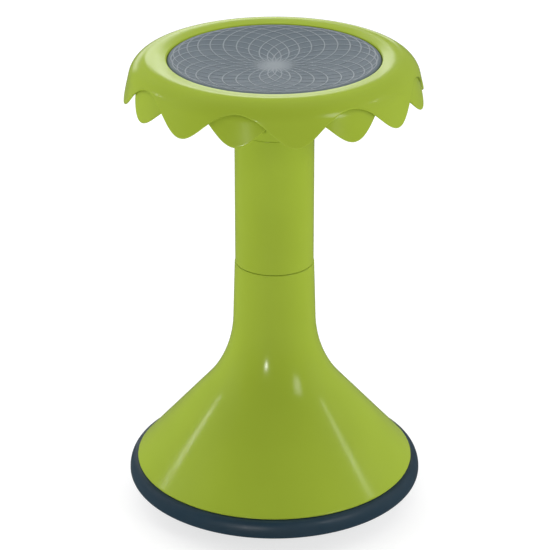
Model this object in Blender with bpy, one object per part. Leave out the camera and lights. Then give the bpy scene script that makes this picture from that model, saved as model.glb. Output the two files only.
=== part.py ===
"""Wobble stool: a scalloped seat with an inset pad, a tube column and a bell base on a domed sole.

Units are metres. +Z is up, the axis of the stool is Z, and the origin is where its sole meets the floor.
Every round piece is a section turned about Z. An angle is measured from -Y towards +X.
"""

import math

import bmesh
import bpy

# Overall sizes
OVERALL_HEIGHT = 0.508      # floor to the crest of the seat rim
BASE_RADIUS = 0.162         # axis to the widest point of the base ring
PAD_RADIUS = 0.112          # axis to the edge of the seat pad
COLUMN_RADIUS = 0.0425      # outside of the tube that shows

# Fits
FIT_GAP = 0.0003            # between pieces that touch
PAD_CLEARANCE = 0.0006      # pad to the wall of its recess
SCREW_CLEARANCE = 0.0003    # screw shank to its hole

# Seat
RIM_WIDTH = 0.0468          # edge of the pad to a lobe tip
RIM_DIP = 0.0014            # crest of the rim down to the edge of the recess
RIM_LIP = 0.0020            # rounding at the edge of the recess
CROWN_RADIUS = 0.024        # rounding from the crest to the skirt
SKIRT_FLARE = math.radians(13.0)
LOBES = 16
LOBE_DROP = 0.0442          # crest down to a lobe tip
VALLEY_DROP = 0.0247        # crest down to the notch between lobes
LOBE_ROUNDING = 0.30        # 0 gives pointed tips
SEAT_WALL = 0.0035
PAD_THICKNESS = 0.0206      # at the pad's edge
PAD_DISH = 0.0090           # edge of the pad down to its centre
PAD_EDGE = 0.0025           # rounding of the pad's top edge
HUB_DROP = 0.0800           # crest down to the lower edge of the hub
HUB_STEP = 0.0006           # hub and neck stand this far proud of the tube
HUB_DRAFT = 0.035
WELL_DEPTH = 0.0070         # screw well in the seat floor, under the pad
RIBS = 8
RIB_THICKNESS = 0.0030
RIB_END_DEPTH = 0.0050      # rib at the recess wall
RIB_HUB_MARGIN = 0.0080     # lower edge of the hub up to the rib

# Column
SPIGOT_WALL = 0.0036        # hub and neck wall round the tube's spigots
TUBE_WALL = 0.0030
END_PLATE = 0.0050

# Base
BELL_HEIGHT = 0.2354        # foot of the bell to the top of its neck
BELL_SLOPE = 0.882          # radius lost for each unit of height on the cone
NECK_DRAFT = 0.030
BELL_FILLET = 0.131         # from the cone into the neck
BELL_WALL = 0.0035
SOCKET_DEPTH = 0.0700       # top of the neck down to its web
WEB_THICKNESS = 0.0050
RING_WIDTH = 0.0120         # radial size of the ring outside its seat
RING_OVERHANG = 0.0076      # ring past the foot of the bell
RING_TUCK = 0.0053          # widest point of the ring in to the turn of its underside
RING_BULGE_DROP = 0.0140    # foot of the bell down to the ring's widest point
RING_HOOK = 0.0070          # the ring's hold under the dish
SPIGOT_LENGTH = 0.0100      # bell foot down into the ring
DOME_RADIUS = 0.600
FLAT_RADIUS = 0.0350        # flat at the centre of the sole
SOLE_THICKNESS = 0.0050
DISH_THICKNESS = 0.0040
DISH_RIM = 0.0070           # width of the dish's flat rim
DISH_EDGE = 0.0063          # height of the dish's edge
DISH_BOSS_HEIGHT = 0.0050
BOSS_RADIUS = 0.0065
DISH_BOSS_MARGIN = 0.0030

# Fasteners
SCREW_RADIUS = 0.0022
HEAD_RADIUS = 0.0045
HEAD_HEIGHT = 0.0030
HEAD_ROUNDING = 0.0010
DRIVE_RADIUS = 0.0018
DRIVE_DEPTH = 0.0016
WASHER_RADIUS = 0.0060
WASHER_THICKNESS = 0.0010
SCREW_REACH = 0.0040        # past the plate that it holds
COLUMN_SCREWS = 4
COLUMN_SCREW_MARGIN = 0.0042   # washer to the bore of the tube
END_HOLE_MARGIN = 0.0060    # washer to the hole at the middle of an end plate
DISH_SCREWS = 6
DISH_SCREW_REACH = 0.0160   # past the dish, into a boss of the bell
DISH_SCREW_INSET = 0.0420   # base ring to the dish screws
HEAD_CLEARANCE = 0.0008
ACCESS_CLEARANCE = 0.0020   # screw head to the access hole in the sole

# Facets
ROUND_STEPS = 48
LOBE_STEPS = 8
ARC_STEPS = 5
EDGE_STEPS = 2
SMALL_STEPS = 8

# Radii
SEAT_RADIUS = PAD_RADIUS + RIM_WIDTH
RECESS_RADIUS = PAD_RADIUS + PAD_CLEARANCE
HUB_RADIUS = COLUMN_RADIUS + HUB_STEP
SOCKET_RADIUS = HUB_RADIUS - SPIGOT_WALL
SPIGOT_RADIUS = SOCKET_RADIUS - FIT_GAP
BORE_RADIUS = SPIGOT_RADIUS - TUBE_WALL
WELL_RADIUS = BORE_RADIUS
COLUMN_SCREW_CIRCLE = BORE_RADIUS - WASHER_RADIUS - COLUMN_SCREW_MARGIN
END_HOLE_RADIUS = COLUMN_SCREW_CIRCLE - WASHER_RADIUS - END_HOLE_MARGIN
FOOT_RADIUS = BASE_RADIUS - RING_OVERHANG
RING_SEAT = BASE_RADIUS - RING_WIDTH
DISH_RADIUS = RING_SEAT - FIT_GAP
SOLE_RADIUS = DISH_RADIUS - RING_HOOK
DISH_SCREW_CIRCLE = BASE_RADIUS - DISH_SCREW_INSET
HOLE_RADIUS = SCREW_RADIUS + SCREW_CLEARANCE
COUNTERBORE_RADIUS = HEAD_RADIUS + HEAD_CLEARANCE
ACCESS_RADIUS = HEAD_RADIUS + ACCESS_CLEARANCE


def dome(radius, depth=0.0):
    """Height of the dome, or of the surface that lies a depth inside it."""
    center = math.sqrt(DOME_RADIUS**2 - FLAT_RADIUS**2)
    return center - math.sqrt((DOME_RADIUS - depth) ** 2 - radius**2)


# Heights
HUB_BOTTOM = OVERALL_HEIGHT - HUB_DROP
RIM_Z = OVERALL_HEIGHT - RIM_DIP
PAD_BOTTOM = RIM_Z - PAD_THICKNESS
SEAT_FLOOR = PAD_BOTTOM - FIT_GAP
WELL_FLOOR = SEAT_FLOOR - WELL_DEPTH
HUB_CEILING = WELL_FLOOR - SEAT_WALL
DISH_TOP = dome(DISH_RADIUS, SOLE_THICKNESS + FIT_GAP) + DISH_EDGE
SPIGOT_BOTTOM = DISH_TOP + FIT_GAP
BELL_FOOT = SPIGOT_BOTTOM + SPIGOT_LENGTH
NECK_TOP = BELL_FOOT + BELL_HEIGHT
WEB_TOP = NECK_TOP - SOCKET_DEPTH
WEB_BOTTOM = WEB_TOP - WEB_THICKNESS
TUBE_BOTTOM = WEB_TOP + FIT_GAP
TUBE_TOP = HUB_CEILING - FIT_GAP

GREEN = (0.26, 0.37, 0.045)
SLATE = (0.15, 0.20, 0.26)
NAVY = (0.035, 0.05, 0.085)
BLACK = (0.02, 0.02, 0.022)
STEEL = (0.55, 0.55, 0.55)


def clear_scene():
    for obj in list(bpy.data.objects):
        bpy.data.objects.remove(obj, do_unlink=True)


def material(name, color, roughness, metallic=0.0):
    made = bpy.data.materials.new(name)
    made.use_nodes = True
    shader = made.node_tree.nodes["Principled BSDF"]
    shader.inputs["Base Color"].default_value = (*color, 1.0)
    shader.inputs["Roughness"].default_value = roughness
    shader.inputs["Metallic"].default_value = metallic
    return made


def polar(radius, angle, height=0.0):
    return (radius * math.sin(angle), -radius * math.cos(angle), height)


def around(count, phase=0.0):
    """The angles of count places spread evenly round the axis; phase counts in places."""
    return [math.tau * (index + phase) / count for index in range(count)]


def spread(start, end, steps):
    """steps values after start, the last one being end."""
    return [start + (end - start) * step / steps for step in range(1, steps + 1)]


def add_turned(work, section, steps, center=(0.0, 0.0, 0.0)):
    """Adds a closed solid. section(angle) lists (radius, height) from pole to pole, or round a ring."""
    angles = around(steps)
    first = section(angles[0])
    poled = first[0][0] == 0.0
    body = slice(1, -1) if poled else slice(None)
    columns = []
    for angle in angles:
        places = [polar(radius, angle, height) for radius, height in section(angle)[body]]
        columns.append([work.verts.new([a + b for a, b in zip(place, center)]) for place in places])
    poles = []
    if poled:
        heights = (first[0][1], first[-1][1])
        poles = [work.verts.new((center[0], center[1], center[2] + height)) for height in heights]
    rows = len(columns[0])
    for index, column in enumerate(columns):
        following = columns[(index + 1) % steps]
        for row in range(rows - 1 if poled else rows):
            above = (row + 1) % rows
            work.faces.new((column[row], following[row], following[above], column[above]))
        if poled:
            work.faces.new((poles[0], following[0], column[0]))
            work.faces.new((poles[1], column[-1], following[-1]))


def finish_mesh(name, work):
    bmesh.ops.recalc_face_normals(work, faces=work.faces)
    mesh = bpy.data.meshes.new(name)
    work.to_mesh(mesh)
    work.free()
    mesh.shade_smooth()
    mesh.set_sharp_from_angle(angle=math.radians(35.0))
    return mesh


def place(name, mesh, parent, finish, location=(0.0, 0.0, 0.0), rotation=(0.0, 0.0, 0.0)):
    obj = bpy.data.objects.new(name, mesh)
    bpy.context.scene.collection.objects.link(obj)
    obj.parent = parent
    obj.location = location
    obj.rotation_euler = rotation
    if finish is not None and not mesh.materials:
        mesh.materials.append(finish)
    return obj


def turned(name, section, steps, parent, finish):
    work = bmesh.new()
    add_turned(work, section, steps)
    return place(name, finish_mesh(name, work), parent, finish)


def helper(name, work, parent):
    """A shape that only cuts or joins another piece."""
    obj = place(name, finish_mesh(name, work), parent, None)
    obj.hide_render = True
    obj.display_type = "WIRE"
    return obj


def combine(target, tool, operation):
    modifier = target.modifiers.new(tool.name, "BOOLEAN")
    modifier.object = tool
    modifier.operation = operation
    modifier.solver = "EXACT"


def drill(target, name, section, angles, circle):
    """Cuts one turned shape from the target at each angle of a circle."""
    work = bmesh.new()
    for angle in angles:
        add_turned(work, lambda _: section, SMALL_STEPS, polar(circle, angle))
    combine(target, helper(name, work, target.parent), "DIFFERENCE")


def rod(radius, bottom, top):
    return [(0.0, top), (radius, top), (radius, bottom), (0.0, bottom)]


def fillet(start, corner, end, radius, steps):
    """Points of the arc that rounds a corner between two straight lines, both its ends included."""
    arms = []
    for tip in (start, end):
        run = (tip[0] - corner[0], tip[1] - corner[1])
        length = math.hypot(*run)
        arms.append((run[0] / length, run[1] / length))
    half = math.acos(arms[0][0] * arms[1][0] + arms[0][1] * arms[1][1]) / 2
    middle = (arms[0][0] + arms[1][0], arms[0][1] + arms[1][1])
    reach = radius / math.sin(half) / math.hypot(*middle)
    center = (corner[0] + middle[0] * reach, corner[1] + middle[1] * reach)
    tangent = radius / math.tan(half)
    ends = [(corner[0] + arm[0] * tangent, corner[1] + arm[1] * tangent) for arm in arms]
    turns = [math.atan2(point[1] - center[1], point[0] - center[0]) for point in ends]
    turn = (turns[1] - turns[0] + math.pi) % math.tau - math.pi
    angles = [turns[0] + turn * step / steps for step in range(steps + 1)]
    return [(center[0] + radius * math.cos(a), center[1] + radius * math.sin(a)) for a in angles]


def dome_points(inner, outer, depth):
    """Points along the dome. Surfaces that face each other share radii, so their facets stay parallel."""
    return [(radius, dome(radius, depth)) for radius in spread(inner, outer, ARC_STEPS)]


# Seat


def hem_height(angle):
    """Height of the hem: each lobe is a half-sine arch turned over, with its tip rounded."""
    place_in_lobe = angle * LOBES / math.tau
    share = abs(place_in_lobe - round(place_in_lobe)) * 2
    soft = LOBE_ROUNDING
    rise = math.hypot(math.sin(share * math.pi / 4), soft) - soft
    full = math.hypot(math.sin(math.pi / 4), soft) - soft
    return OVERALL_HEIGHT - LOBE_DROP + (LOBE_DROP - VALLEY_DROP) * rise / full


def crown_center():
    """Centre of the rounding between the crest and a skirt that passes through the lobe tips."""
    turn = math.pi / 2 - SKIRT_FLARE
    height = OVERALL_HEIGHT - CROWN_RADIUS
    touch = height + CROWN_RADIUS * math.cos(turn)
    tip = OVERALL_HEIGHT - LOBE_DROP
    radius = SEAT_RADIUS - (touch - tip) * math.tan(SKIRT_FLARE) - CROWN_RADIUS * math.sin(turn)
    return radius, height


def crown_points(inset):
    """The rounding from the crest to the skirt, at a depth under the surface."""
    radius, height = crown_center()
    reach = CROWN_RADIUS - inset
    turns = [0.0] + spread(0.0, math.pi / 2 - SKIRT_FLARE, ARC_STEPS)
    return [(radius + reach * math.sin(turn), height + reach * math.cos(turn)) for turn in turns]


def seat_section(angle):
    outside = crown_points(0.0)
    inside = crown_points(SEAT_WALL)
    hem = hem_height(angle)
    skirt_radius = SEAT_RADIUS - (hem - OVERALL_HEIGHT + LOBE_DROP) * math.tan(SKIRT_FLARE)
    hem_inner = skirt_radius - SEAT_WALL / math.cos(SKIRT_FLARE)
    middle = (outside[-1][1] + hem) / 2
    middle_radius = skirt_radius - (middle - hem) * math.tan(SKIRT_FLARE)
    middle_inner = middle_radius - SEAT_WALL / math.cos(SKIRT_FLARE)
    hub_top = HUB_RADIUS + (SEAT_FLOOR - SEAT_WALL - HUB_BOTTOM) * HUB_DRAFT
    top = [
        (0.0, WELL_FLOOR),
        (WELL_RADIUS, WELL_FLOOR),
        (WELL_RADIUS, SEAT_FLOOR),
        (RECESS_RADIUS, SEAT_FLOOR),
        (RECESS_RADIUS, RIM_Z - RIM_LIP),
        (RECESS_RADIUS + RIM_LIP, RIM_Z),
    ]
    hems = [
        (middle_radius, middle),
        (skirt_radius, hem),
        (hem_inner, hem),
        (middle_inner, middle),
    ]
    under = [
        (RECESS_RADIUS + SEAT_WALL, RIM_Z - SEAT_WALL),
        (RECESS_RADIUS + SEAT_WALL, SEAT_FLOOR - SEAT_WALL),
        (hub_top, SEAT_FLOOR - SEAT_WALL),
        (HUB_RADIUS, HUB_BOTTOM),
        (SOCKET_RADIUS, HUB_BOTTOM),
        (SOCKET_RADIUS, HUB_CEILING),
        (0.0, HUB_CEILING),
    ]
    return top + outside + hems + inside[::-1] + under


def rib_shape(work, angle):
    """One upright rib from the hub to the wall of the recess, standing in the plane of its angle."""
    inner = (SOCKET_RADIUS + HUB_RADIUS) / 2
    plate = SEAT_FLOOR - SEAT_WALL / 2
    outline = [
        (inner, plate),
        (RECESS_RADIUS, plate),
        (RECESS_RADIUS, SEAT_FLOOR - SEAT_WALL - RIB_END_DEPTH),
        (inner, HUB_BOTTOM + RIB_HUB_MARGIN),
    ]
    side = polar(RIB_THICKNESS / 2, angle + math.pi / 2)
    faces = []
    for sign in (-1, 1):
        corners = [polar(radius, angle, height) for radius, height in outline]
        faces.append([work.verts.new([a + sign * b for a, b in zip(corner, side)]) for corner in corners])
    work.faces.new(faces[0])
    work.faces.new(faces[1][::-1])
    for index in range(len(outline)):
        after = (index + 1) % len(outline)
        work.faces.new((faces[0][index], faces[1][index], faces[1][after], faces[0][after]))


def make_seat(parent, finish):
    seat = turned("seat_shell", seat_section, LOBES * LOBE_STEPS, parent, finish)
    work = bmesh.new()
    for angle in around(RIBS, 0.5):
        rib_shape(work, angle)
    combine(seat, helper("seat_ribs", work, parent), "UNION")
    hole = rod(HOLE_RADIUS, HUB_CEILING - SEAT_WALL, WELL_FLOOR + SEAT_WALL)
    drill(seat, "seat_drill", hole, around(COLUMN_SCREWS, 0.5), COLUMN_SCREW_CIRCLE)


def make_pad(parent, finish):
    edge = PAD_RADIUS - PAD_EDGE
    radii = spread(0.0, edge, ARC_STEPS)
    top = [(radius, RIM_Z - PAD_DISH * (1 - (radius / edge) ** 2)) for radius in radii]
    turns = spread(0.0, math.pi / 2, EDGE_STEPS)
    rounding = [(edge + PAD_EDGE * math.sin(a), RIM_Z - PAD_EDGE * (1 - math.cos(a))) for a in turns]
    section = [(0.0, RIM_Z - PAD_DISH)] + top + rounding + [(PAD_RADIUS, PAD_BOTTOM), (0.0, PAD_BOTTOM)]
    turned("seat_pad", lambda _: section, ROUND_STEPS, parent, finish)


# Column


def make_column(parent, finish):
    section = [
        (END_HOLE_RADIUS, TUBE_BOTTOM),
        (SPIGOT_RADIUS, TUBE_BOTTOM),
        (SPIGOT_RADIUS, NECK_TOP + FIT_GAP),
        (COLUMN_RADIUS, NECK_TOP + FIT_GAP),
        (COLUMN_RADIUS, HUB_BOTTOM - FIT_GAP),
        (SPIGOT_RADIUS, HUB_BOTTOM - FIT_GAP),
        (SPIGOT_RADIUS, TUBE_TOP),
        (END_HOLE_RADIUS, TUBE_TOP),
        (END_HOLE_RADIUS, TUBE_TOP - END_PLATE),
        (BORE_RADIUS, TUBE_TOP - END_PLATE),
        (BORE_RADIUS, TUBE_BOTTOM + END_PLATE),
        (END_HOLE_RADIUS, TUBE_BOTTOM + END_PLATE),
    ]
    column = turned("column_tube", lambda _: section, ROUND_STEPS, parent, finish)
    for name, bottom, top in (
        ("column_drill_low", TUBE_BOTTOM - END_PLATE, TUBE_BOTTOM + 2 * END_PLATE),
        ("column_drill_high", TUBE_TOP - 2 * END_PLATE, TUBE_TOP + END_PLATE),
    ):
        hole = rod(HOLE_RADIUS, bottom, top)
        drill(column, name, hole, around(COLUMN_SCREWS, 0.5), COLUMN_SCREW_CIRCLE)


# Base


def bell_outline(inset):
    """The bell's cone, fillet and neck from the foot up, at a depth under its surface."""
    cone_run = math.hypot(1.0, BELL_SLOPE) * inset
    neck_run = math.hypot(1.0, NECK_DRAFT) * inset
    foot = (FOOT_RADIUS - cone_run, BELL_FOOT)
    top = (HUB_RADIUS - neck_run, NECK_TOP)
    rise = (foot[0] - top[0] - NECK_DRAFT * BELL_HEIGHT) / (BELL_SLOPE - NECK_DRAFT)
    corner = (foot[0] - BELL_SLOPE * rise, BELL_FOOT + rise)
    arc = fillet(foot, corner, top, BELL_FILLET + inset, 2 * ARC_STEPS)
    return [foot] + arc + [top]


def bell_wall_height(radius):
    """Height of the middle of the bell's wall on its cone, at a radius."""
    inset = math.hypot(1.0, BELL_SLOPE) * BELL_WALL / 2
    return BELL_FOOT + (FOOT_RADIUS - inset - radius) / BELL_SLOPE


def neck_inner_radius(height):
    """Radius of the bell's inner wall at a height, read along its outline."""
    points = bell_outline(BELL_WALL)
    for low, high in zip(points, points[1:]):
        if high[1] >= height:
            share = (height - low[1]) / (high[1] - low[1])
            return low[0] + (high[0] - low[0]) * share
    return points[-1][0]


def dish_boss_top():
    return dome(DISH_SCREW_CIRCLE, SOLE_THICKNESS + FIT_GAP + DISH_THICKNESS) + DISH_BOSS_HEIGHT


def add_boss(work, angle, reach, flat, slope):
    """A pillar on the screw circle: one end is flat, and the other follows slope(radius), a height."""
    center = polar(DISH_SCREW_CIRCLE, angle)
    rings = ([], [])
    for turn in around(SMALL_STEPS):
        x, y, _ = polar(reach, turn)
        x, y = x + center[0], y + center[1]
        rings[0].append(work.verts.new((x, y, flat)))
        rings[1].append(work.verts.new((x, y, slope(math.hypot(x, y)))))
    middle = work.verts.new((center[0], center[1], slope(DISH_SCREW_CIRCLE)))
    work.faces.new(rings[0])
    for index in range(SMALL_STEPS):
        after = (index + 1) % SMALL_STEPS
        work.faces.new((rings[0][index], rings[0][after], rings[1][after], rings[1][index]))
        work.faces.new((rings[1][index], rings[1][after], middle))


def make_bell(parent, finish):
    outside = bell_outline(0.0)
    inside = [point for point in bell_outline(BELL_WALL)[1:] if point[1] < WEB_BOTTOM]
    spigot_inner = DISH_RADIUS - BELL_WALL
    cone_inner = FOOT_RADIUS - math.hypot(1.0, BELL_SLOPE) * BELL_WALL
    bend = BELL_FOOT + (cone_inner - spigot_inner) / BELL_SLOPE
    section = (
        outside
        + [
            (SOCKET_RADIUS, NECK_TOP),
            (SOCKET_RADIUS, WEB_TOP),
            (END_HOLE_RADIUS, WEB_TOP),
            (END_HOLE_RADIUS, WEB_BOTTOM),
            (neck_inner_radius(WEB_BOTTOM), WEB_BOTTOM),
        ]
        + inside[::-1]
        + [
            (spigot_inner, bend),
            (spigot_inner, SPIGOT_BOTTOM),
            (DISH_RADIUS, SPIGOT_BOTTOM),
            (DISH_RADIUS, BELL_FOOT),
        ]
    )
    bell = turned("base_bell", lambda _: section, ROUND_STEPS, parent, finish)
    work = bmesh.new()
    for angle in around(DISH_SCREWS):
        add_boss(work, angle, BOSS_RADIUS, dish_boss_top() + FIT_GAP, bell_wall_height)
    combine(bell, helper("bell_bosses", work, parent), "UNION")
    hole = rod(HOLE_RADIUS, WEB_BOTTOM - WEB_THICKNESS, WEB_TOP + WEB_THICKNESS)
    drill(bell, "web_drill", hole, around(COLUMN_SCREWS, 0.5), COLUMN_SCREW_CIRCLE)
    bottom = dish_boss_top() - DISH_BOSS_HEIGHT
    hole = rod(HOLE_RADIUS, bottom, dish_screw_seat() + dish_screw_length() + SCREW_REACH)
    drill(bell, "boss_drill", hole, around(DISH_SCREWS), DISH_SCREW_CIRCLE)


def make_ring(parent, finish):
    """A rubber ring round the bell's spigot and the dish, hooked under the dish."""
    depth = SOLE_THICKNESS + FIT_GAP
    top = BELL_FOOT - FIT_GAP
    bulge = BELL_FOOT - RING_BULGE_DROP
    under = BASE_RADIUS - RING_TUCK
    low = dome(under) + FIT_GAP
    turns = spread(0.0, math.pi / 2, ARC_STEPS)
    upper = [
        (FOOT_RADIUS + RING_OVERHANG * math.sin(a), bulge + (top - bulge) * math.cos(a)) for a in turns
    ]
    lower = [
        (under + (BASE_RADIUS - under) * math.cos(a), bulge - (bulge - low) * math.sin(a)) for a in turns
    ]
    hook = SOLE_RADIUS + FIT_GAP
    section = (
        [(RING_SEAT, top), (FOOT_RADIUS, top)]
        + upper
        + lower
        + [
            (hook, dome(hook) + FIT_GAP),
            (hook, dome(hook, depth) - FIT_GAP),
            (RING_SEAT, dome(RING_SEAT, depth) - FIT_GAP),
        ]
    )
    turned("base_ring", lambda _: section, ROUND_STEPS, parent, finish)


def make_dish(parent, finish):
    depth = SOLE_THICKNESS + FIT_GAP
    rim = DISH_RADIUS - DISH_RIM
    upper = dome_points(0.0, rim, depth + DISH_THICKNESS)
    section = (
        [(0.0, dome(0.0, depth + DISH_THICKNESS))]
        + upper
        + [(rim, DISH_TOP), (DISH_RADIUS, DISH_TOP)]
        + [(DISH_RADIUS, dome(DISH_RADIUS, depth))]
        + dome_points(0.0, SOLE_RADIUS, depth)[::-1]
        + [(0.0, dome(0.0, depth))]
    )
    dish = turned("rocker_dish", lambda _: section, ROUND_STEPS, parent, finish)
    work = bmesh.new()
    reach = COUNTERBORE_RADIUS + DISH_BOSS_MARGIN
    middle = depth + DISH_THICKNESS / 2
    for angle in around(DISH_SCREWS):
        add_boss(work, angle, reach, dish_boss_top(), lambda radius: dome(radius, middle))
    combine(dish, helper("dish_bosses", work, parent), "UNION")
    seat = dish_screw_seat()
    stepped = [
        (0.0, dish_boss_top() + DISH_BOSS_HEIGHT),
        (HOLE_RADIUS, dish_boss_top() + DISH_BOSS_HEIGHT),
        (HOLE_RADIUS, seat),
        (COUNTERBORE_RADIUS, seat),
        (COUNTERBORE_RADIUS, dome(0.0)),
        (0.0, dome(0.0)),
    ]
    drill(dish, "dish_drill", stepped, around(DISH_SCREWS), DISH_SCREW_CIRCLE)


def make_sole(parent, finish):
    section = (
        [(0.0, dome(0.0, SOLE_THICKNESS))]
        + dome_points(0.0, SOLE_RADIUS, SOLE_THICKNESS)
        + dome_points(FLAT_RADIUS, SOLE_RADIUS, 0.0)[::-1]
        + [(FLAT_RADIUS, 0.0), (0.0, 0.0)]
    )
    sole = turned("grip_sole", lambda _: section, ROUND_STEPS, parent, finish)
    hole = rod(ACCESS_RADIUS, -SOLE_THICKNESS, dome(SOLE_RADIUS) + 2 * SOLE_THICKNESS)
    drill(sole, "sole_drill", hole, around(DISH_SCREWS), DISH_SCREW_CIRCLE)


# Fasteners


def dish_screw_seat():
    """Height of the face that a dish screw's head bears on."""
    return dish_boss_top() - DISH_THICKNESS


def dish_screw_length():
    return DISH_THICKNESS + FIT_GAP + DISH_SCREW_REACH


def screw_mesh(name, length, finish):
    """A pan-head screw standing on the face that its head bears on, with its shank below."""
    section = [
        (0.0, HEAD_HEIGHT - DRIVE_DEPTH),
        (DRIVE_RADIUS, HEAD_HEIGHT - DRIVE_DEPTH),
        (DRIVE_RADIUS, HEAD_HEIGHT),
        (HEAD_RADIUS - HEAD_ROUNDING, HEAD_HEIGHT),
        (HEAD_RADIUS, HEAD_HEIGHT - HEAD_ROUNDING),
        (HEAD_RADIUS, 0.0),
        (SCREW_RADIUS, 0.0),
        (SCREW_RADIUS, SCREW_RADIUS - length),
        (0.0, -length),
    ]
    work = bmesh.new()
    add_turned(work, lambda _: section, SMALL_STEPS)
    mesh = finish_mesh(name, work)
    mesh.materials.append(finish)
    return mesh


def washer_mesh(finish):
    section = [
        (HOLE_RADIUS, 0.0),
        (WASHER_RADIUS, 0.0),
        (WASHER_RADIUS, WASHER_THICKNESS),
        (HOLE_RADIUS, WASHER_THICKNESS),
    ]
    work = bmesh.new()
    add_turned(work, lambda _: section, SMALL_STEPS)
    mesh = finish_mesh("washer", work)
    mesh.materials.append(finish)
    return mesh


def make_fasteners(parent, finish):
    washer = washer_mesh(finish)
    reach = 3 * FIT_GAP + WASHER_THICKNESS + END_PLATE + SCREW_REACH
    seat_screw = screw_mesh("seat_screw", reach + SEAT_WALL, finish)
    column_screw = screw_mesh("column_screw", reach + WEB_THICKNESS, finish)
    dish_screw = screw_mesh("dish_screw", dish_screw_length(), finish)
    upside_down = (math.pi, 0.0, 0.0)
    for number, angle in enumerate(around(COLUMN_SCREWS, 0.5), 1):
        height = WELL_FLOOR + FIT_GAP
        spot = polar(COLUMN_SCREW_CIRCLE, angle, height)
        place(f"seat_washer_{number}", washer, parent, None, spot)
        spot = polar(COLUMN_SCREW_CIRCLE, angle, height + WASHER_THICKNESS + FIT_GAP)
        place(f"seat_screw_{number}", seat_screw, parent, None, spot)
        height = WEB_BOTTOM - FIT_GAP
        spot = polar(COLUMN_SCREW_CIRCLE, angle, height)
        place(f"column_washer_{number}", washer, parent, None, spot, upside_down)
        spot = polar(COLUMN_SCREW_CIRCLE, angle, height - WASHER_THICKNESS - FIT_GAP)
        place(f"column_screw_{number}", column_screw, parent, None, spot, upside_down)
    for number, angle in enumerate(around(DISH_SCREWS), 1):
        spot = polar(DISH_SCREW_CIRCLE, angle, dish_screw_seat() - FIT_GAP)
        place(f"dish_screw_{number}", dish_screw, parent, None, spot, upside_down)


def main():
    clear_scene()
    green = material("green_plastic", GREEN, 0.25)
    slate = material("pad_rubber", SLATE, 0.6)
    navy = material("ring_rubber", NAVY, 0.5)
    black = material("dish_plastic", BLACK, 0.4)
    steel = material("steel", STEEL, 0.3, 1.0)
    stool = bpy.data.objects.new("stool", None)
    bpy.context.scene.collection.objects.link(stool)
    make_pad(stool, slate)
    make_seat(stool, green)
    make_column(stool, green)
    make_bell(stool, green)
    make_ring(stool, navy)
    make_dish(stool, black)
    make_sole(stool, navy)
    make_fasteners(stool, steel)


main()
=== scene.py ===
"""The wobble stool's looks: moulded plastic and rubber shells, a patterned pad, a pale studio."""

import math

import bmesh
import bpy
import numpy as np
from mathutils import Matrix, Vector


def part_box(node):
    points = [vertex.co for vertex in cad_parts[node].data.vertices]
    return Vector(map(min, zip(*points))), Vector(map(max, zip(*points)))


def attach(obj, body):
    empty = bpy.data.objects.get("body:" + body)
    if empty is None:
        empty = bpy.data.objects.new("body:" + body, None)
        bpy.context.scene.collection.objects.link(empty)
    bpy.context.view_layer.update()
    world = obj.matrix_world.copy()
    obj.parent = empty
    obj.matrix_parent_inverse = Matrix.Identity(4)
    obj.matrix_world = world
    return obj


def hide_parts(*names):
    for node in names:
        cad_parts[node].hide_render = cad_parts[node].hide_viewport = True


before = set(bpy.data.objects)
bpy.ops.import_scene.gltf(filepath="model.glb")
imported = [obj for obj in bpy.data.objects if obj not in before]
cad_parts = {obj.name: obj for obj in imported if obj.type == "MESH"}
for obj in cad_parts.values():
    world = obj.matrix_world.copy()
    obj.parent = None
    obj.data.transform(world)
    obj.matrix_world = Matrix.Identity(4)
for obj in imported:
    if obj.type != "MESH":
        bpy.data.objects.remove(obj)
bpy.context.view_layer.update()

# Sizes of the moulded detail, in metres. Everything else is read from the frame.
LOBES = 16                  # 8 in the outer layer of the skirt, 8 in the inner one
LOBE_DROP = 0.0442          # crest down to a lobe tip
ARCH_DROP = 0.0122          # crest down to the top of the arch between lobes of one layer
LOBE_SKEW = 0.20            # how much fuller an arch is than a lobe
CROWN_RADIUS = 0.024        # of the seat's outer edge, at its top
SKIRT_FLARE = math.radians(13.0)
RIM_LIP = 0.0020
LAYER = 0.0024              # thickness of one layer of the skirt
CREVICE = 0.0003            # between the two layers, above a hem
JOIN_LIFT = 0.0010          # the layers part this far above the higher hem
SEAT_WALL = 0.0035
RECESS_ROUNDING = 0.0015
HUB_ROUNDING = 0.003
WALL_TOP_DROP = 0.001       # the recess's wall starts this far under the seat's top wall
GAP = 0.0003                # between pieces that are fitted together
PAD_CLEARANCE = 0.0006      # round the pad, in its recess
WELL_DEPTH = 0.007          # of the well for the seat screws, under the pad
SOCKET_WALL = 0.0036        # of the hub and the neck, round the ends of the tube
TUBE_WALL = 0.003
OUTLINE_DROP = 0.03         # the tube's outline starts this far below the neck's top
TUBE_STEP = 0.0006          # hub and neck stand this far proud of the tube
HUB_DRAFT = 0.035
RIBS = 8
RIB_THICKNESS = 0.0030
RIB_END_DEPTH = 0.0050
RIB_HUB_MARGIN = 0.0080
RIB_ROOT = 0.0018           # a rib's reach into the hub
SEAM_ROUNDING = 0.0007

PAD_DISH = 0.0090
PAD_EDGE = 0.0025
RIDGES = 24
RIDGE_CENTRE = 0.482        # of the pad's radius
RIDGE_WIDTH = 0.0016
RIDGE_HEIGHT = 0.0005
DISC_SHARE = 0.21           # plain disc at the middle of the pad, of its radius
DISC_HEIGHT = 0.00034
DISC_DEPTH = 0.002          # of the disc's root in the pad

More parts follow.
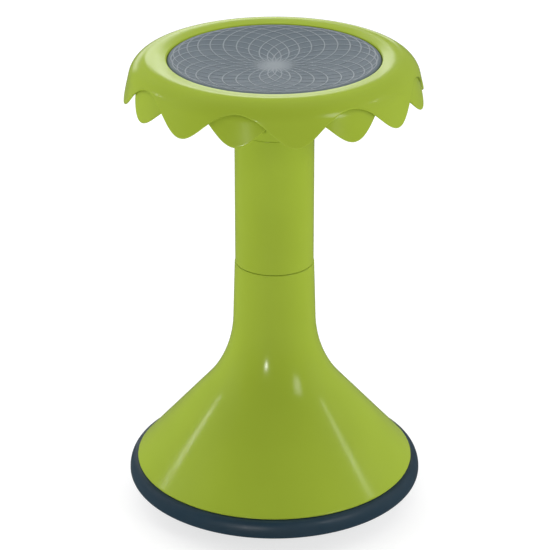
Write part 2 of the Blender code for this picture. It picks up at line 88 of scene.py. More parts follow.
BELL_SLOPE = 0.882
NECK_DRAFT = 0.030
BELL_FILLET = 0.131
BELL_WALL = 0.0035
FOOT_ROUNDING = 0.0012
WEB_THICKNESS = 0.005       # web that closes the neck under the tube
WEB_HOLE = 0.014
WEB_MARGIN = 0.006
RING_OVERHANG = 0.0076
RING_BULGE_DROP = 0.0140
RING_WIDTH = 0.0120
RING_UNDER_SHARE = 0.7      # of the overhang, where the ring's underside starts to rise
DOME_RADIUS = 0.600
FLAT_RADIUS = 0.0350
SOLE_THICKNESS = 0.0050
GROOVES = 11
GROOVE_DEPTH = 0.0012
GROOVE_WIDTH = 0.0022
GROOVE_FLOOR = 0.6          # of the groove's width
GROOVE_MARGIN = 0.006       # from the flat
GROOVE_PLACE = 0.35         # of the pitch
ACCESS_RADIUS = 0.0065
COUNTERBORE_RADIUS = 0.0053
DRILL_BOTTOM = -0.01
DRILL_TOP = 0.04
DISH_THICKNESS = 0.004
DISH_RIM = 0.007

DISH_SCREWS = 6
HEAD_HEIGHT = 0.003
HEAD_RADIUS = 0.0045
SHANK_RADIUS = 0.0022
PAN_HEAD = (                # radius, and height over the bottom of the head
    (0.0, 0.0),
    (0.0022, 0.00072),
    (0.0034, 0.00099),
    (0.0042, 0.00162),
    (HEAD_RADIUS, 0.00234),
)
SLOT = (0.0044, 0.0009, 0.0036)    # length, width and twice the depth

GREEN = ((0.304, 0.402, 0.036), (0.328, 0.432, 0.040))
GREEN_WORN = (0.46, 0.55, 0.12)
GREEN_ROUGHNESS = (0.15, 0.21)
GREEN_SPECULAR = 0.18
PAD_RUBBER = ((0.114, 0.150, 0.178), (0.130, 0.166, 0.192))
# Lighter colour of the pad's raised lines and disc: partly wear, partly a painted highlight where light
# catches the ridges
PAD_RIDGE_WEAR_AND_HIGHLIGHT = (0.25, 0.285, 0.31)
TREAD_RUBBER = ((0.012, 0.033, 0.052), (0.017, 0.042, 0.064))
DISH_PLASTIC = ((0.02, 0.022, 0.025), (0.03, 0.033, 0.036))
RUBBER_SPECULAR = 0.35
STEEL = ((0.50, 0.50, 0.49), (0.62, 0.62, 0.60))
STEEL_ROUGHNESS = (0.25, 0.42)
FLOOR_PAINT = ((0.34, 0.34, 0.34), (0.36, 0.36, 0.36))
FLOOR_SPECULAR = 0.2
WEAR = 0.3                  # how much the worn colour shows, at most

CAMERA_AZIMUTH = -8.1       # degrees from -Y towards +X, as for the lights
CAMERA_PITCH = 24.136       # degrees below the horizon
CAMERA_REACH = 2.3166
CAMERA_HEIGHT = 1.2955
CAMERA_SHIFT = 0.001
LENS = 152.9                # millimetres, on a 36 mm sensor
ROOM_LIGHT = 1.72
ROOM_FRONT_LIGHT = 0.00
ROOM_TURN = (-0.25, 0.40)   # where the back's light ends and the front's starts, -1 back to 1 front
ROOM_GLOSS_SHARE = 0.08     # of the room's light, in a reflection
AIM_HEIGHT = 0.20
FLOOR_GLOW = 0.70
FLOOR_HALF = 12.0
FLOOR_GAP = 0.0002          # below the sole
LIGHT_DISTANCE = 6.0
SOFTBOXES = (               # name, azimuth, elevation, extent in degrees, radiance, seen in gloss
    ("left_strip", -115.4, 24.2, (1.8, 2.0), 60.0, True),
    ("right_strip", 83.9, 32.0, (1.8, 2.0), 55.0, True),
    ("left_wall", -98.0, 20.0, (43.0, 43.0), 1.15, False),
    ("right_wall", 82.0, 20.0, (43.0, 43.0), 1.15, False),
    ("back_box", -155.0, 30.0, (20.0, 13.0), 3.3, False),
    ("low_back_box", 177.5, 20.5, (14.0, 8.0), 2.8, True),
    ("low_back_wall", 182.0, 8.0, (40.0, 12.0), 1.3, True),
    ("front_left_spot", -27.0, 9.5, (3.2, 5.0), 150.0, True),
    ("front_right_spot", 40.0, 25.0, (12.0, 14.0), 11.0, True),
)

FINE = 512                  # steps round the seat
ROUND = 256                 # steps round the plain pieces
RIDGE_STEPS = 220           # round a raised circle of the pad
TUBE_SIDES = 8              # round its section
SCREW_STEPS = 48
DRILL_STEPS = 40
SHARP_ANGLE = math.radians(35.0)
SUPPORT_MARGIN = 0.0008
OUTER_ROWS = 40             # down the outer layer of the skirt
HEM_ROWS = 8
BACK_ROWS = 10              # up behind the outer layer
INNER_ROWS = 24             # down the inner layer
INSIDE_ROWS = 16            # up inside the inner layer, and again up to the crest
RIM_ROWS = 12
PAD_ROWS = 60
DISC_ROWS = 8
DOME_ROWS = 24
RING_ROWS = 16
FILLET_STEPS = 40


# Shapes


def link(name, mesh):
    obj = bpy.data.objects.new(name, mesh)
    bpy.context.scene.collection.objects.link(obj)
    mesh.shade_smooth()
    mesh.set_sharp_from_angle(angle=SHARP_ANGLE)
    return obj


def mesh_from(name, points, faces):
    mesh = bpy.data.meshes.new(name)
    mesh.from_pydata(np.asarray(points).reshape(-1, 3).tolist(), [], faces)
    work = bmesh.new()
    work.from_mesh(mesh)
    bmesh.ops.recalc_face_normals(work, faces=work.faces)
    work.to_mesh(mesh)
    work.free()
    mesh.update()
    return mesh


def around(steps):
    return np.arange(steps) * (math.tau / steps)


def shares(steps):
    return np.linspace(0.0, 1.0, steps + 1)


def turned_mesh(name, radii, heights, steps):
    """A closed solid turned about Z. radii and heights run from pole to pole, or round a ring.

    Each is a list of rows, and a row is a number or one value for each step.
    """
    radii = np.array([np.broadcast_to(row, steps) for row in radii], float)
    heights = np.array([np.broadcast_to(row, steps) for row in heights], float)
    angles = around(steps)
    poled = bool(np.all(radii[0] == 0.0))
    ends = [heights[0][0], heights[-1][0]]
    if poled:
        radii, heights = radii[1:-1], heights[1:-1]
    rows = len(radii)
    points = np.stack([radii * np.sin(angles), -radii * np.cos(angles), heights], axis=-1)
    points = points.reshape(-1, 3)
    faces = []
    for row in range(rows - 1 if poled else rows):
        below = (row + 1) % rows
        for step in range(steps):
            after = (step + 1) % steps
            a, b = row * steps + step, row * steps + after
            c, d = below * steps + after, below * steps + step
            faces.append((a, b, c, d))
    if poled:
        top, bottom = len(points), len(points) + 1
        points = np.vstack([points, [[0, 0, ends[0]], [0, 0, ends[1]]]])
        last = (rows - 1) * steps
        for step in range(steps):
            after = (step + 1) % steps
            faces.append((top, after, step))
            faces.append((bottom, last + step, last + after))
    return mesh_from(name, points, faces)


def turned(name, outline, steps=ROUND):
    radii, heights = zip(*outline)
    return link(name, turned_mesh(name, radii, heights, steps))


def combine(target, tool, operation):
    """Joins or cuts for good, and removes the tool."""
    modifier = target.modifiers.new(tool.name, "BOOLEAN")
    modifier.object = tool
    modifier.operation = operation
    modifier.solver = "MANIFOLD"
    graph = bpy.context.evaluated_depsgraph_get()
    result = bpy.data.meshes.new_from_object(target.evaluated_get(graph))
    target.modifiers.clear()
    target.data = result
    bpy.data.objects.remove(tool, do_unlink=True)
    result.shade_smooth()
    result.set_sharp_from_angle(angle=SHARP_ANGLE)


def arc(center, radius, start, end, steps):
    """Points of a circular arc, in degrees from the outward direction, both ends included."""
    angles = np.radians(np.linspace(start, end, steps + 1))
    return [(center[0] + radius * math.cos(a), center[1] + radius * math.sin(a)) for a in angles]


def corner(before, point, after, radius, steps=4):
    """The points that round one corner of an outline."""
    first = np.array(before) - point
    second = np.array(after) - point
    first = first / np.linalg.norm(first)
    second = second / np.linalg.norm(second)
    half = math.acos(np.clip(first @ second, -1, 1)) / 2
    middle = (first + second) / np.linalg.norm(first + second)
    center = np.array(point) + middle * radius / math.sin(half)
    reach = radius / math.tan(half)
    start = np.array(point) + first * reach - center
    end = np.array(point) + second * reach - center
    turn = math.atan2(start[0] * end[1] - start[1] * end[0], start @ end)
    found = []
    for share in shares(steps):
        c, s = math.cos(turn * share), math.sin(turn * share)
        across = center[0] + c * start[0] - s * start[1]
        found.append((across, center[1] + s * start[0] + c * start[1]))
    return found


def rounded(outline, radii):
    """An outline with some corners rounded: radii maps the index of a corner to its radius."""
    made = []
    for index, point in enumerate(outline):
        if index in radii:
            after = outline[(index + 1) % len(outline)]
            made += corner(outline[index - 1], point, after, radii[index])
        else:
            made.append(point)
    return made


def supported(outline):
    """An outline with points near both ends of each long straight run, for even shading."""
    made = [outline[0]]
    for start, end in zip(outline, outline[1:]):
        run = math.dist(start, end)
        if run > 4 * SUPPORT_MARGIN:
            for share in (SUPPORT_MARGIN / run, 1 - SUPPORT_MARGIN / run):
                made.append(tuple(a + (b - a) * share for a, b in zip(start, end)))
        made.append(end)
    return made


# What the frame says

seat_low, seat_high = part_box("seat_shell")
pad_low, pad_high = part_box("seat_pad")
tube_low, tube_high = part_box("column_tube")
bell_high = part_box("base_bell")[1]
ring_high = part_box("base_ring")[1]
dish_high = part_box("rocker_dish")[1]
sole_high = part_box("grip_sole")[1]

CREST = seat_high.z
SEAT_RADIUS = seat_high.x
HUB_BOTTOM = seat_low.z
PAD_RADIUS = pad_high.x
RIM_Z = pad_high.z
PAD_BOTTOM = pad_low.z
TUBE_RADIUS = tube_high.x
HUB_RADIUS = TUBE_RADIUS + TUBE_STEP
SOCKET_RADIUS = HUB_RADIUS - SOCKET_WALL
SPIGOT_RADIUS = SOCKET_RADIUS - GAP
NECK_TOP = bell_high.z
FOOT_RADIUS = bell_high.x
BASE_RADIUS = ring_high.x
BELL_FOOT = ring_high.z + GAP
DISH_RADIUS = dish_high.x
DISH_TOP = dish_high.z
SOLE_RADIUS = sole_high.x
RING_SEAT = BASE_RADIUS - RING_WIDTH


# Seat shell


def hem(angles, phase):
    """Height of one layer's hem: round lobes between arches that are fuller and flatter."""
    place = angles * LOBES / math.tau / 2 + phase
    share = np.abs(place - np.round(place)) * 2
    turn = math.pi * share + LOBE_SKEW * np.sin(math.pi * share)
    return CREST - LOBE_DROP + (LOBE_DROP - ARCH_DROP) * (1 - np.cos(turn)) / 2


class Crown:
    """The seat's outer profile from its crest, round the crown and down the flaring skirt."""

    def __init__(self):
        self.turn = math.pi / 2 - SKIRT_FLARE
        self.height = CREST - CROWN_RADIUS
        self.touch = self.height + CROWN_RADIUS * math.cos(self.turn)
        tip = CREST - LOBE_DROP
        run = (self.touch - tip) * math.tan(SKIRT_FLARE)
        self.radius = SEAT_RADIUS - run - CROWN_RADIUS * math.sin(self.turn)

    def along(self, height):
        """Length along the profile at which it is at a height."""
        bend = np.arccos(np.clip((height - self.height) / CROWN_RADIUS, -1, 1)) * CROWN_RADIUS
        straight = self.turn * CROWN_RADIUS + (self.touch - height) / math.cos(SKIRT_FLARE)
        return np.where(height > self.touch, bend, straight)

    def at(self, length, depth):
        """Radius, height and downward direction at a length along the profile and a depth under it."""
        turn = np.minimum(length / CROWN_RADIUS, self.turn)
        past = np.maximum(length - self.turn * CROWN_RADIUS, 0.0)
        out_r, out_z = np.sin(turn), np.cos(turn)
        radius = self.radius + (CROWN_RADIUS - depth) * out_r + past * out_z
        height = self.height + (CROWN_RADIUS - depth) * out_z - past * out_r
        return radius, height, (out_z, -out_r)


def hem_rows(center, down, half):
    """Rows round a hem, from its outer face to its inner one."""
    rows = []
    for turn in np.linspace(0.0, math.pi, HEM_ROWS + 1)[1:-1]:
        c, s = math.cos(turn), math.sin(turn)
        radius = center[0] - down[1] * half * c + down[0] * half * s
        height = center[1] + down[0] * half * c + down[1] * half * s
        rows.append((radius, height))
    return rows


def skirt_rows(crown, angles):
    """Rows down the outer layer, round its hem, up behind it, and down and up the inner one."""
    outer, inner = hem(angles, 0.0), hem(angles, 0.5)
    half = LAYER / 2
    join = crown.along(np.maximum(outer, inner) + JOIN_LIFT)
    outer_end = crown.along(outer + half)
    inner_end = crown.along(inner + half)
    tip_end = crown.along(np.full_like(angles, CREST - LOBE_DROP + half))
    rows = []
    for share in shares(OUTER_ROWS)[1:]:
        rows.append(crown.at(outer_end * share, 0.0)[:2])
    radius, height, down = crown.at(outer_end, half)
    rows += hem_rows((radius, height), down, half)
    for share in shares(BACK_ROWS):
        rows.append(crown.at(outer_end + (join - outer_end) * share, LAYER)[:2])
    recess = LAYER + CREVICE

    def depth_at(length):
        return recess * (1 - np.clip((length - join) / (tip_end - join), 0.0, 1.0))

    for share in shares(INNER_ROWS):
        length = join + (inner_end - join) * share
        rows.append(crown.at(length, depth_at(length))[:2])
    radius, height, down = crown.at(inner_end, depth_at(inner_end) + half)
    rows += hem_rows((radius, height), down, half)
    for share in shares(INSIDE_ROWS):
        length = inner_end + (join - inner_end) * share
        rows.append(crown.at(length, depth_at(length) + LAYER)[:2])
    full = recess + LAYER
    for share in shares(INSIDE_ROWS)[1:]:
        depth = SEAT_WALL + (full - SEAT_WALL) * (1 - share) ** 2 * (1 + 2 * share)
        rows.append(crown.at(join * (1 - share), depth)[:2])
    return rows


def make_seat():
    crown = Crown()
    angles = around(FINE)
    recess = PAD_RADIUS + PAD_CLEARANCE
    floor = PAD_BOTTOM - GAP
    well_floor = floor - WELL_DEPTH
    well = SPIGOT_RADIUS - TUBE_WALL
    ceiling = well_floor - SEAT_WALL
    hub_top = HUB_RADIUS + (floor - SEAT_WALL - HUB_BOTTOM) * HUB_DRAFT
    top = [(0.0, well_floor), (well, well_floor), (well, floor), (recess, floor)]
    top += arc((recess + RIM_LIP, RIM_Z - RIM_LIP), RIM_LIP, 180, 90, 6)
    for share in shares(RIM_ROWS)[1:]:
        radius = recess + RIM_LIP + (crown.radius - recess - RIM_LIP) * share
        top.append((radius, RIM_Z + (CREST - RIM_Z) * math.sin(share * math.pi / 2)))
    under = [
        (recess + SEAT_WALL, RIM_Z - SEAT_WALL - WALL_TOP_DROP),
        (recess + SEAT_WALL, floor - SEAT_WALL),
        (hub_top, floor - SEAT_WALL),
        (HUB_RADIUS, HUB_BOTTOM),
        (SOCKET_RADIUS, HUB_BOTTOM),
        (SOCKET_RADIUS, ceiling),
    ]
    under = rounded(under, {1: RECESS_ROUNDING, 2: HUB_ROUNDING, 3: SEAM_ROUNDING})
    rows = top + skirt_rows(crown, angles) + under + [(0.0, ceiling)]
    radii, heights = zip(*rows)
    name = "seat_shell_moulding"
    seat = link(name, turned_mesh(name, radii, heights, FINE))
    combine(seat, make_ribs(recess, floor, hub_top), "UNION")
    return seat


def make_ribs(recess, floor, hub_top):
    """Upright ribs from the hub to the wall of the pad's recess, one closed solid each."""
    work = bmesh.new()
    inner = HUB_RADIUS - RIB_ROOT
    plate = floor - SEAT_WALL / 2
    outline = [
        (inner, plate),
        (recess, plate),
        (recess, floor - SEAT_WALL - RIB_END_DEPTH),
        (inner, HUB_BOTTOM + RIB_HUB_MARGIN),
    ]
    for index in range(RIBS):
        angle = math.tau * (index + 0.5) / RIBS
        along = np.array((math.sin(angle), -math.cos(angle), 0.0))
        side = np.array((math.cos(angle), math.sin(angle), 0.0)) * RIB_THICKNESS / 2
        sheets = []
        for sign in (-1, 1):
            spots = [along * r + (0.0, 0.0, z) + sign * side for r, z in outline]
            sheets.append([work.verts.new(spot) for spot in spots])
        work.faces.new(sheets[0])
        work.faces.new(sheets[1][::-1])
        for start in range(len(outline)):
            end = (start + 1) % len(outline)
            work.faces.new((sheets[0][start], sheets[1][start], sheets[1][end], sheets[0][end]))
    bmesh.ops.recalc_face_normals(work, faces=work.faces)
    mesh = bpy.data.meshes.new("ribs")
    work.to_mesh(mesh)
    work.free()
    return link("ribs", mesh)


# Seat pad


def pad_height(radius):
    """Height of the dished top of the pad."""
    edge = PAD_RADIUS - PAD_EDGE
    return RIM_Z - RIDGE_HEIGHT - PAD_DISH * (1 - np.minimum(radius / edge, 1.0) ** 2)


def make_ridge(index):
    """One raised circle of the pad: a closed tube of flat oval section lying in its surface."""
    angle = math.tau * (index + 0.5) / RIDGES
    reach = PAD_RADIUS * RIDGE_CENTRE
    center = np.array((math.sin(angle), -math.cos(angle))) * reach
    turns = around(RIDGE_STEPS)
    points = np.zeros((RIDGE_STEPS, TUBE_SIDES, 3))
    for side, roll in enumerate(around(TUBE_SIDES)):
        radius = reach + RIDGE_WIDTH / 2 * math.cos(roll)
        flat = center + np.stack([np.cos(turns), np.sin(turns)], axis=-1) * radius
        rise = RIDGE_HEIGHT * math.sin(roll)
        points[:, side, :2] = flat
        points[:, side, 2] = pad_height(np.hypot(flat[:, 0], flat[:, 1])) + rise
    faces = []
    for step in range(RIDGE_STEPS):
        here = step * TUBE_SIDES
        there = (step + 1) % RIDGE_STEPS * TUBE_SIDES
        for side in range(TUBE_SIDES):
            beside = (side + 1) % TUBE_SIDES
            faces.append((here + side, here + beside, there + beside, there + side))
    name = f"ridge_{index}"
    return link(name, mesh_from(name, points, faces))


def make_pad():
    edge = PAD_RADIUS - PAD_EDGE
    radii = np.linspace(0.0, edge, PAD_ROWS + 1)
    outline = [(r, float(pad_height(r))) for r in radii]
    top = float(pad_height(edge))
    outline += arc((edge, top - PAD_EDGE), PAD_EDGE, 90, 0, 8)[1:]
    outline += [(PAD_RADIUS, PAD_BOTTOM), (0.0, PAD_BOTTOM)]
    pad = turned("seat_pad_moulding", outline)
    for index in range(RIDGES):
        combine(pad, make_ridge(index), "UNION")
    disc = PAD_RADIUS * DISC_SHARE
    rows = []
    for share in shares(DISC_ROWS):
        rise = DISC_HEIGHT * (1 - share**3)
        rows.append((disc * share, float(pad_height(disc * share)) + rise))
    rows.append((disc, float(pad_height(disc)) - DISC_DEPTH))
    rows.append((0.0, float(pad_height(0.0)) - DISC_DEPTH))
    combine(pad, turned("pad_disc", rows), "UNION")
    return pad


# Column and base


def make_tube():
    bore = SPIGOT_RADIUS - TUBE_WALL
    outline = [
        (SPIGOT_RADIUS, NECK_TOP - OUTLINE_DROP),
        (SPIGOT_RADIUS, NECK_TOP + GAP),
        (TUBE_RADIUS, NECK_TOP + GAP),
        (TUBE_RADIUS, HUB_BOTTOM - GAP),
        (SPIGOT_RADIUS, HUB_BOTTOM - GAP),
        (SPIGOT_RADIUS, tube_high.z),
        (bore, tube_high.z),
        (bore, tube_low.z),
        (SPIGOT_RADIUS, tube_low.z),
    ]
    outline = rounded(outline, {2: SEAM_ROUNDING, 3: SEAM_ROUNDING})
    return turned("column_tube_moulding", supported(outline))


def bell_outline(inset):
    cone_run = math.hypot(1.0, BELL_SLOPE) * inset
    neck_run = math.hypot(1.0, NECK_DRAFT) * inset
    foot = (FOOT_RADIUS - cone_run, BELL_FOOT)
    top = (HUB_RADIUS - neck_run, NECK_TOP)
    rise = (foot[0] - top[0] - NECK_DRAFT * (NECK_TOP - BELL_FOOT)) / (BELL_SLOPE - NECK_DRAFT)
    bend = (foot[0] - BELL_SLOPE * rise, BELL_FOOT + rise)
    return [foot] + corner(foot, bend, top, BELL_FILLET + inset, FILLET_STEPS) + [top]


def make_bell():
    web_top = tube_low.z - GAP
    web_bottom = web_top - WEB_THICKNESS
    spigot = DISH_RADIUS - BELL_WALL
    bottom = DISH_TOP + GAP
    outside = bell_outline(0.0)
    inside = [spot for spot in bell_outline(BELL_WALL)[1:] if spot[1] < web_top - WEB_MARGIN]
    foot_inside = FOOT_RADIUS - math.hypot(1.0, BELL_SLOPE) * BELL_WALL
    bend = BELL_FOOT + (foot_inside - spigot) / BELL_SLOPE
    outline = outside + [(SOCKET_RADIUS, NECK_TOP), (SOCKET_RADIUS, web_top)]
    outline += [(WEB_HOLE, web_top), (WEB_HOLE, web_bottom), (inside[-1][0], web_bottom)]
    outline += inside[::-1]
    outline += [(spigot, bend), (spigot, bottom), (DISH_RADIUS, bottom), (DISH_RADIUS, BELL_FOOT)]
    rounding = {0: FOOT_ROUNDING, len(outside) - 1: SEAM_ROUNDING}
    return turned("base_bell_moulding", supported(rounded(outline, rounding)))


def dome(radius, depth=0.0):
    center = math.sqrt(DOME_RADIUS**2 - FLAT_RADIUS**2)
    return center - math.sqrt((DOME_RADIUS - depth) ** 2 - radius**2)


def make_ring():
    depth = SOLE_THICKNESS + GAP
    top = BELL_FOOT - GAP
    bulge = BELL_FOOT - RING_BULGE_DROP
    under = BASE_RADIUS - RING_OVERHANG * RING_UNDER_SHARE
    low = dome(under) + GAP
    upper, lower = [], []
    for angle in np.radians(np.linspace(0, 90, RING_ROWS + 1)[1:]):
        c, s = math.cos(angle), math.sin(angle)
        upper.append((FOOT_RADIUS + RING_OVERHANG * s, bulge + (top - bulge) * c))
        lower.append((under + (BASE_RADIUS - under) * c, bulge - (bulge - low) * s))
    hook = SOLE_RADIUS + GAP
    outline = [(RING_SEAT, top), (FOOT_RADIUS, top)] + upper + lower
    outline += [(hook, dome(hook) + GAP), (hook, dome(hook, depth) - GAP)]
    outline += [(RING_SEAT, dome(RING_SEAT, depth) - GAP)]
    return turned("base_ring_moulding", outline)


def dish_screw_spots():
    """Centre, bottom and top of each dish screw: x, y, low, high."""
    spots = []
    for index in range(1, DISH_SCREWS + 1):
        low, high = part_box(f"dish_screw_{index}")
        spots.append(((low.x + high.x) / 2, (low.y + high.y) / 2, low.z, high.z))
    return spots


def drill(target, radius, top):
    """Cuts a round hole from below at each dish screw, up to a height."""
    for index, (x, y, _, _) in enumerate(dish_screw_spots()):
        outline = [(0.0, top), (radius, top), (radius, DRILL_BOTTOM), (0.0, DRILL_BOTTOM)]
        tool = turned(f"drill_{index}", outline, DRILL_STEPS)
        tool.location = (x, y, 0.0)
        combine(target, tool, "DIFFERENCE")


def make_sole():
    top = [(r, dome(r, SOLE_THICKNESS)) for r in np.linspace(0.0, SOLE_RADIUS, DOME_ROWS + 1)]
    pitch = (SOLE_RADIUS - FLAT_RADIUS - GROOVE_MARGIN) / GROOVES
    half = GROOVE_WIDTH / 2
    flat = half * GROOVE_FLOOR
    bottom = []
    for index in range(GROOVES):
        middle = FLAT_RADIUS + GROOVE_MARGIN + pitch * (index + GROOVE_PLACE)
        for offset, depth in ((-half, 0.0), (-flat, 1.0), (flat, 1.0), (half, 0.0)):
            bottom.append((middle + offset, dome(middle + offset) + GROOVE_DEPTH * depth))
    bottom = [(0.0, 0.0), (FLAT_RADIUS, 0.0)] + bottom + [(SOLE_RADIUS, dome(SOLE_RADIUS))]
    sole = turned("grip_sole_moulding", top + bottom[::-1])
    drill(sole, ACCESS_RADIUS, DRILL_TOP)
    return sole


def make_dish():
    depth = SOLE_THICKNESS + GAP
    rim = DISH_RADIUS - DISH_RIM
    steps = DOME_ROWS + 1
    top = [(r, dome(r, depth + DISH_THICKNESS)) for r in np.linspace(0.0, rim, steps)]
    top += [(rim, DISH_TOP), (DISH_RADIUS, DISH_TOP)]
    low = [(r, dome(r, depth)) for r in np.linspace(0.0, DISH_RADIUS, steps)]
    dish = turned("rocker_dish_moulding", top + low[::-1])
    seat = dish_screw_spots()[0][2] + HEAD_HEIGHT + GAP
    drill(dish, COUNTERBORE_RADIUS, seat)
    return dish


def make_slot(low, turn):
    """A cutter for one arm of a cross recess."""
    work = bmesh.new()
    bmesh.ops.create_cube(work, size=1.0)
    bmesh.ops.scale(work, vec=SLOT, verts=work.verts)
    mesh = bpy.data.meshes.new("slot")
    work.to_mesh(mesh)
    work.free()
    slot = link("slot", mesh)
    slot.location = (0.0, 0.0, low)
    slot.rotation_euler = (0.0, 0.0, turn)
    return slot


def make_dish_screws():
    """Pan-head screws with a cross recess, seen from below in the access holes of the sole."""
    made = []
    for index, (x, y, low, high) in enumerate(dish_screw_spots(), 1):
        shoulder = low + HEAD_HEIGHT
        outline = [(r, low + z) for r, z in PAN_HEAD]
        outline += [(HEAD_RADIUS, shoulder), (SHANK_RADIUS, shoulder)]
        outline += [(SHANK_RADIUS, high - SHANK_RADIUS), (0.0, high)]
        screw = turned(f"dish_screw_{index}_fine", outline, SCREW_STEPS)
        for turn in (0.0, math.pi / 2):
            combine(screw, make_slot(low, turn + index), "DIFFERENCE")
        screw.location = (x, y, 0.0)
        made.append(screw)
    return made


# Materials


def node(tree, kind, inputs=None, **settings):
    made = tree.nodes.new(kind)
    for name, value in settings.items():
        setattr(made, name, value)
    for name, value in (inputs or {}).items():
        if isinstance(value, bpy.types.NodeSocket):
            tree.links.new(value, made.inputs[name])
        else:
            made.inputs[name].default_value = value
    return made


def blank(name, roughness):
    made = bpy.data.materials.new(name)
    made.use_nodes = True
    tree = made.node_tree
    shader = tree.nodes["Principled BSDF"]
    shader.inputs["Roughness"].default_value = roughness
    place = tree.nodes.new("ShaderNodeTexCoord").outputs["Object"]
    return made, tree, shader, place


def noise(tree, place, scale, detail=3.0, roughness=0.5):
    inputs = {"Vector": place, "Scale": scale, "Detail": detail, "Roughness": roughness}
    return node(tree, "ShaderNodeTexNoise", inputs).outputs["Fac"]


def spread_to(tree, value, low, high, start=0.3, end=0.7):
    """A value mapped from start..end to low..high."""
    inputs = {"Value": value, "From Min": start, "From Max": end, "To Min": low, "To Max": high}
    return node(tree, "ShaderNodeMapRange", inputs).outputs["Result"]


def mixed(tree, share, first, second):
    """A colour between two others. The first is a colour or another node's output."""
    if not isinstance(first, bpy.types.NodeSocket):
        first = (*first, 1.0)
    inputs = {0: share, 6: first, 7: (*second, 1.0)}
    return node(tree, "ShaderNodeMix", inputs, data_type="RGBA").outputs[2]


def bump(tree, shader, heights):
    """Stacks bumps: each is (height, strength, distance)."""
    normal = None
    for height, strength, distance in heights:
        inputs = {"Height": height, "Strength": strength, "Distance": distance}
        if normal is not None:
            inputs["Normal"] = normal
        normal = node(tree, "ShaderNodeBump", inputs).outputs["Normal"]
    tree.links.new(normal, shader.inputs["Normal"])


def edge_share(tree, low, high):
    """1 on worn edges, 0 elsewhere."""
    point = node(tree, "ShaderNodeNewGeometry").outputs["Pointiness"]
    return spread_to(tree, point, 0.0, 1.0, low, high)


def green_plastic():
    made, tree, shader, place = blank("green_plastic", 0.24)
    tone = spread_to(tree, noise(tree, place, 9.0, 2.0), 0.0, 1.0)
    worn = node(tree, "ShaderNodeMath", {0: edge_share(tree, 0.53, 0.60), 1: WEAR}, operation="MULTIPLY")
    color = mixed(tree, worn.outputs[0], mixed(tree, tone, *GREEN), GREEN_WORN)
    tree.links.new(color, shader.inputs["Base Color"])
    rough = spread_to(tree, noise(tree, place, 26.0, 4.0, 0.6), *GREEN_ROUGHNESS)
    tree.links.new(rough, shader.inputs["Roughness"])
    shader.inputs["Specular IOR Level"].default_value = GREEN_SPECULAR
    fine = noise(tree, place, 1400.0, 2.0)
    wavy = noise(tree, place, 30.0, 1.0)
    bump(tree, shader, [(wavy, 0.06, 0.001), (fine, 0.04, 0.0002)])
    return made


def ridge_share(tree, place):
    """1 on the pad's raised lines and its disc, 0 on the dished surface between them."""
    parts = node(tree, "ShaderNodeSeparateXYZ", {"Vector": place}).outputs
    flat = node(tree, "ShaderNodeCombineXYZ", {"X": parts["X"], "Y": parts["Y"]})
    reach = node(tree, "ShaderNodeVectorMath", {0: flat.outputs["Vector"]}, operation="LENGTH")
    squared = node(tree, "ShaderNodeMath", {0: reach.outputs["Value"], 1: 2.0}, operation="POWER")
    bowl = PAD_DISH / (PAD_RADIUS - PAD_EDGE) ** 2
    rise = node(tree, "ShaderNodeMath", {0: squared.outputs[0], 1: -bowl}, operation="MULTIPLY")
    above = node(tree, "ShaderNodeMath", {0: parts["Z"], 1: rise.outputs[0]}, operation="ADD")
    base = float(pad_height(0.0))
    low, high = base + RIDGE_HEIGHT * 0.2, base + RIDGE_HEIGHT * 0.7
    return spread_to(tree, above.outputs[0], 0.0, 1.0, low, high)


def rubber(name, tones, roughness, grain, grain_strength, ridge=None):
    made, tree, shader, place = blank(name, roughness)
    tone = spread_to(tree, noise(tree, place, 14.0, 3.0), 0.0, 1.0)
    dusty = tuple(c * 1.6 + 0.01 for c in tones[1])
    dust = node(tree, "ShaderNodeMath", {0: edge_share(tree, 0.52, 0.62), 1: WEAR}, operation="MULTIPLY")
    color = mixed(tree, dust.outputs[0], mixed(tree, tone, *tones), dusty)
    # The raised lines and the disc get a lighter colour: partly wear, partly painted highlight
    if ridge is not None:
        color = mixed(tree, ridge_share(tree, place), color, ridge)
    tree.links.new(color, shader.inputs["Base Color"])
    rough = spread_to(tree, noise(tree, place, 60.0, 4.0), roughness - 0.06, roughness + 0.08)
    tree.links.new(rough, shader.inputs["Roughness"])
    shader.inputs["Specular IOR Level"].default_value = RUBBER_SPECULAR
    bump(tree, shader, [(noise(tree, place, grain, 3.0), grain_strength, 0.0003)])
    return made


def steel():
    made, tree, shader, place = blank("zinc_steel", 0.32)
    shader.inputs["Metallic"].default_value = 1.0
    tone = spread_to(tree, noise(tree, place, 300.0, 3.0), 0.0, 1.0)
    rough = spread_to(tree, noise(tree, place, 900.0, 3.0), *STEEL_ROUGHNESS)
    tree.links.new(mixed(tree, tone, *STEEL), shader.inputs["Base Color"])
    tree.links.new(rough, shader.inputs["Roughness"])
    bump(tree, shader, [(noise(tree, place, 2500.0, 2.0), 0.1, 0.0001)])
    return made


def floor_paint():
    made, tree, shader, place = blank("studio_floor", 0.6)
    tone = spread_to(tree, noise(tree, place, 1.5, 2.0), 0.0, 1.0)
    tree.links.new(mixed(tree, tone, *FLOOR_PAINT), shader.inputs["Base Color"])
    shader.inputs["Specular IOR Level"].default_value = FLOOR_SPECULAR
    shader.inputs["Emission Color"].default_value = (1.0, 1.0, 1.0, 1.0)
    shader.inputs["Emission Strength"].default_value = FLOOR_GLOW
    return made


def wear(obj, material):
    obj.data.materials.clear()
    obj.data.materials.append(material)


# Studio


def make_camera():
    data = bpy.data.cameras.new("camera")
    data.sensor_width = 36.0
    data.lens = LENS
    data.shift_x = CAMERA_SHIFT
    camera = bpy.data.objects.new("camera", data)
    bpy.context.scene.collection.objects.link(camera)
    turn = math.radians(CAMERA_AZIMUTH)
    across, back = math.sin(turn) * CAMERA_REACH, -math.cos(turn) * CAMERA_REACH
    camera.location = (across, back, CAMERA_HEIGHT)
    camera.rotation_euler = (math.radians(90.0 - CAMERA_PITCH), 0.0, turn)
    bpy.context.scene.camera = camera


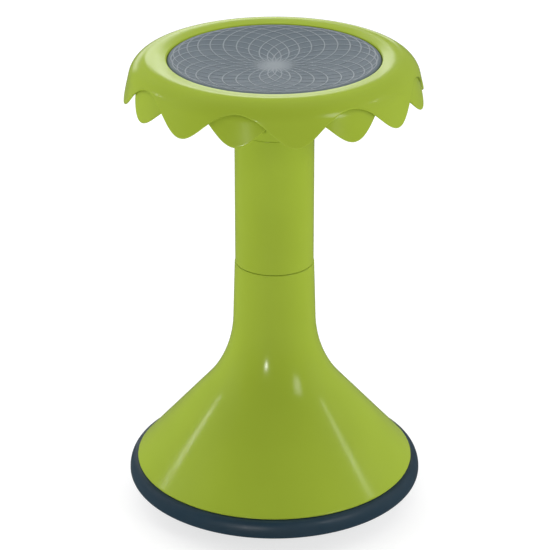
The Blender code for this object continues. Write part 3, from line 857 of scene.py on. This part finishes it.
def softbox(name, azimuth, elevation, extent, radiance, glossy):
    """An area light that faces the stool. Azimuth is from -Y towards +X."""
    turn, rise = math.radians(azimuth), math.radians(elevation)
    level = math.cos(rise)
    aim = Vector((math.sin(turn) * level, -math.cos(turn) * level, math.sin(rise)))
    data = bpy.data.lights.new(name, "AREA")
    data.shape = "RECTANGLE"
    halves = [math.tan(math.radians(angle / 2)) for angle in extent]
    data.size, data.size_y = [2 * LIGHT_DISTANCE * half for half in halves]
    data.energy = radiance * math.pi * data.size * data.size_y
    light = bpy.data.objects.new(name, data)
    bpy.context.scene.collection.objects.link(light)
    light.location = Vector((0.0, 0.0, AIM_HEIGHT)) + aim * LIGHT_DISTANCE
    light.rotation_euler = aim.to_track_quat("Z", "Y").to_euler()
    light.visible_glossy = glossy


def make_world():
    """A white room that is dimmer on the camera's side, and in reflections."""
    world = bpy.data.worlds.new("studio")
    bpy.context.scene.world = world
    world.use_nodes = True
    tree = world.node_tree
    background = tree.nodes["Background"]
    background.inputs["Color"].default_value = (1.0, 1.0, 1.0, 1.0)
    direction = tree.nodes.new("ShaderNodeTexCoord").outputs["Generated"]
    turn = math.radians(CAMERA_AZIMUTH)
    front = (math.sin(turn), -math.cos(turn), 0.0)
    facing = node(tree, "ShaderNodeVectorMath", {0: direction, 1: front}, operation="DOT_PRODUCT")
    room = spread_to(tree, facing.outputs["Value"], ROOM_LIGHT, ROOM_FRONT_LIGHT, *ROOM_TURN)
    glossy = node(tree, "ShaderNodeLightPath").outputs["Is Glossy Ray"]
    inputs = {0: glossy, 1: ROOM_GLOSS_SHARE - 1.0, 2: 1.0}
    share = node(tree, "ShaderNodeMath", inputs, operation="MULTIPLY_ADD").outputs[0]
    strength = node(tree, "ShaderNodeMath", {0: room, 1: share}, operation="MULTIPLY")
    tree.links.new(strength.outputs[0], background.inputs["Strength"])


def make_studio():
    make_world()
    floor = bpy.data.meshes.new("floor")
    half = FLOOR_HALF
    corners = [(-half, -half), (half, -half), (half, half), (-half, half)]
    floor.from_pydata([(x, y, -FLOOR_GAP) for x, y in corners], [], [(0, 1, 2, 3)])
    obj = bpy.data.objects.new("floor", floor)
    bpy.context.scene.collection.objects.link(obj)
    wear(obj, floor_paint())
    obj.visible_glossy = False
    for light in SOFTBOXES:
        softbox(*light)
    bpy.context.scene.view_settings.view_transform = "Standard"


def main():
    make_camera()
    green = green_plastic()
    pad_rubber = rubber("pad_rubber", PAD_RUBBER, 0.5, 700.0, 0.2, PAD_RIDGE_WEAR_AND_HIGHLIGHT)
    tread_rubber = rubber("tread_rubber", TREAD_RUBBER, 0.42, 900.0, 0.2)
    dish_plastic = rubber("dish_plastic", DISH_PLASTIC, 0.45, 1200.0, 0.15)
    metal = steel()
    pieces = [
        (make_seat(), "seat_shell", "shell", green),
        (make_pad(), "seat_pad", "pad", pad_rubber),
        (make_tube(), "column_tube", "shell", green),
        (make_bell(), "base_bell", "shell", green),
        (make_ring(), "base_ring", "tread", tread_rubber),
        (make_dish(), "rocker_dish", "dish", dish_plastic),
        (make_sole(), "grip_sole", "tread", tread_rubber),
    ]
    for index, screw in enumerate(make_dish_screws(), 1):
        pieces.append((screw, f"dish_screw_{index}", "fastener", metal))
    for piece, replaced, slot, material in pieces:
        wear(piece, material)
        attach(piece, "root")
        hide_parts(replaced)
    for name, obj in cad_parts.items():
        if "screw" in name or "washer" in name:
            wear(obj, metal)
    make_studio()


main()
